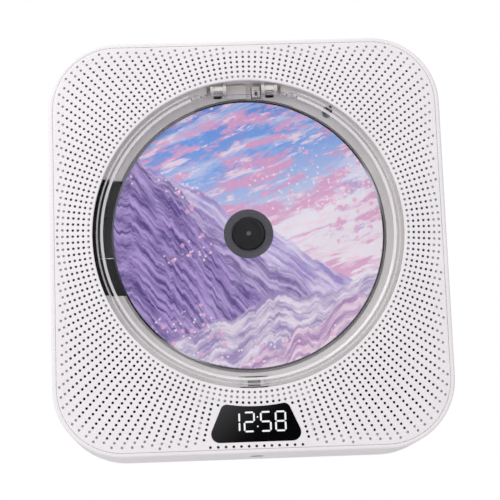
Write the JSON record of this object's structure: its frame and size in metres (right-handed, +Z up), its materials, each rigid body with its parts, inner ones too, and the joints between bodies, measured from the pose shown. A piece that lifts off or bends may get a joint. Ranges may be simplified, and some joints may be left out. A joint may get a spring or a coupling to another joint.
{
  "type": "wall-mounted disc player",
  "caption": "Square wall-mounted disc player with a perforated front, a hinged clear lid over the disc well, a lit clock display and sprung keys along the top.",
  "frame": {"origin": "where the disc's axis meets the wall plane, on the rear cover's flat back", "axes": "+X right, +Z up, +Y into the wall; the front face looks along -Y"},
  "size_m": [0.176, 0.038, 0.1852],
  "materials": {
    "white_shell": "satin",
    "clear_lid": "clear moulded, polished",
    "well_grey": "satin",
    "black_plastic": "matt",
    "gloss_black": "polished",
    "lit_white": "lit from behind",
    "disc_clear": "polycarbonate over a mirror layer",
    "print": "printed",
    "steel": "plain",
    "dark_steel": "black oxide",
    "motor_can": "zinc plated",
    "magnet": "nickel or bare ferrite",
    "rubber": "matt",
    "pad_rubber": "matt",
    "board_green": "solder mask",
    "chip": "matt",
    "socket_steel": "nickel plated",
    "paper_cone": "pressed paper",
    "felt": "felt",
    "white_pom": "as moulded",
    "amber_lens": "clear"
  },
  "bodies": {
    "case": {"housing": "white_shell", "front_grille": "white_shell", "baffle_lining": "felt", "rear_cover": "white_shell", "disc_well": "well_grey", "catch_magnet": "magnet", "lid_hinge_pins": "white_pom", "lid_switch_body": "black_plastic", "spindle_motor": "motor_can", "deck_plate": "black_plastic", "deck_dampers": "rubber", "deck_screws": "dark_steel", "guide_rods": "steel", "idler_axle": "steel", "sled_motor": "motor_can", "speaker_frame_left": "black_plastic", "speaker_cone_left": "paper_cone", "speaker_magnet_left": "magnet", "speaker_frame_right": "black_plastic", "speaker_cone_right": "paper_cone", "speaker_magnet_right": "magnet", "speaker_screws": "dark_steel", "display_window": "gloss_black", "display_segments": "lit_white", "display_module": "black_plastic", "remote_sensor": "black_plastic", "key_board": "board_green", "key_board_screws": "dark_steel", "key_switches": "black_plastic", "main_board": "board_green", "board_screws": "dark_steel", "board_chips": "chip", "usb_c_inlet": "socket_steel", "usb_a_port": "socket_steel", "aux_jack": "black_plastic", "headphone_jack": "black_plastic", "wall_pads": "pad_rubber", "rear_screws": "dark_steel", "well_screws": "dark_steel", "pocket_screw": "dark_steel"},
    "lid": {"lid": "clear_lid", "lid_keeper": "steel"},
    "lid_switch_plunger": {"lid_switch_plunger": "black_plastic"},
    "turntable": {"turntable_hub": "black_plastic", "chucking_balls": "steel", "spindle_shaft": "steel", "disc": "disc_clear", "disc_label": "print"},
    "sled": {"pickup_sled": "black_plastic", "sled_rack": "white_pom"},
    "lens": {"objective_lens": "amber_lens"},
    "idler": {"idler_gear": "white_pom"},
    "pinion": {"motor_pinion": "white_pom", "sled_motor_shaft": "steel"},
    "key_power": {"key_power": "white_shell"},
    "key_previous": {"key_previous": "white_shell"},
    "key_play": {"key_play": "white_shell"},
    "key_next": {"key_next": "white_shell"},
    "key_volume_down": {"key_volume_down": "white_shell"},
    "key_volume_up": {"key_volume_up": "white_shell"}
  },
  "joints": [
    {"name": "lid_open", "type": "hinge", "parent": "case", "child": "lid", "pos_m": [0, -0.0353, 0.0644], "axis": [-1, 0, 0], "range_deg": [0, 85]},
    {"name": "lid_switch_slide", "type": "slide", "parent": "case", "child": "lid_switch_plunger", "axis": [0, 1, 0], "range_m": [-0.0005, 0.00001]},
    {"name": "disc_spin", "type": "hinge", "parent": "case", "child": "turntable", "pos_m": [0, -0.029, 0], "axis": [0, 1, 0], "continuous": true},
    {"name": "sled_slide", "type": "slide", "parent": "case", "child": "sled", "axis": [-1, 0, 0], "range_m": [0, 0.032]},
    {"name": "lens_focus", "type": "slide", "parent": "sled", "child": "lens", "axis": [0, -1, 0], "range_m": [-0.00025, 0.00025], "stiffness_N_per_m": 40},
    {"name": "idler_spin", "type": "hinge", "parent": "case", "child": "idler", "pos_m": [-0.034, -0.02, -0.0155], "axis": [0, 1, 0], "range_deg": [-613, 0.1]},
    {"name": "pinion_spin", "type": "hinge", "parent": "case", "child": "pinion", "pos_m": [-0.02403, -0.02, -0.02015], "axis": [0, 1, 0], "range_deg": [-0.1, 2080]},
    {"name": "key_power_press", "type": "slide", "parent": "case", "child": "key_power", "axis": [0, 0, -1], "range_m": [0, 0.0005], "stiffness_N_per_m": 400, "springref_m": -0.001},
    {"name": "key_previous_press", "type": "slide", "parent": "case", "child": "key_previous", "axis": [0, 0, -1], "range_m": [0, 0.0005], "stiffness_N_per_m": 400, "springref_m": -0.001},
    {"name": "key_play_press", "type": "slide", "parent": "case", "child": "key_play", "axis": [0, 0, -1], "range_m": [0, 0.0005], "stiffness_N_per_m": 400, "springref_m": -0.001},
    {"name": "key_next_press", "type": "slide", "parent": "case", "child": "key_next", "axis": [0, 0, -1], "range_m": [0, 0.0005], "stiffness_N_per_m": 400, "springref_m": -0.001},
    {"name": "key_volume_down_press", "type": "slide", "parent": "case", "child": "key_volume_down", "axis": [0, 0, -1], "range_m": [0, 0.0005], "stiffness_N_per_m": 400, "springref_m": -0.001},
    {"name": "key_volume_up_press", "type": "slide", "parent": "case", "child": "key_volume_up", "axis": [0, 0, -1], "range_m": [0, 0.0005], "stiffness_N_per_m": 400, "springref_m": -0.001}
  ],
  "couplings": [
    {"joint": "idler_spin", "follows": "sled_slide", "rad_per_m": -333.33},
    {"joint": "pinion_spin", "follows": "sled_slide", "rad_per_m": 1133.3},
    {"joint": "lid_switch_slide", "follows": "lid_open", "m_per_rad": -0.000337}
  ]
}
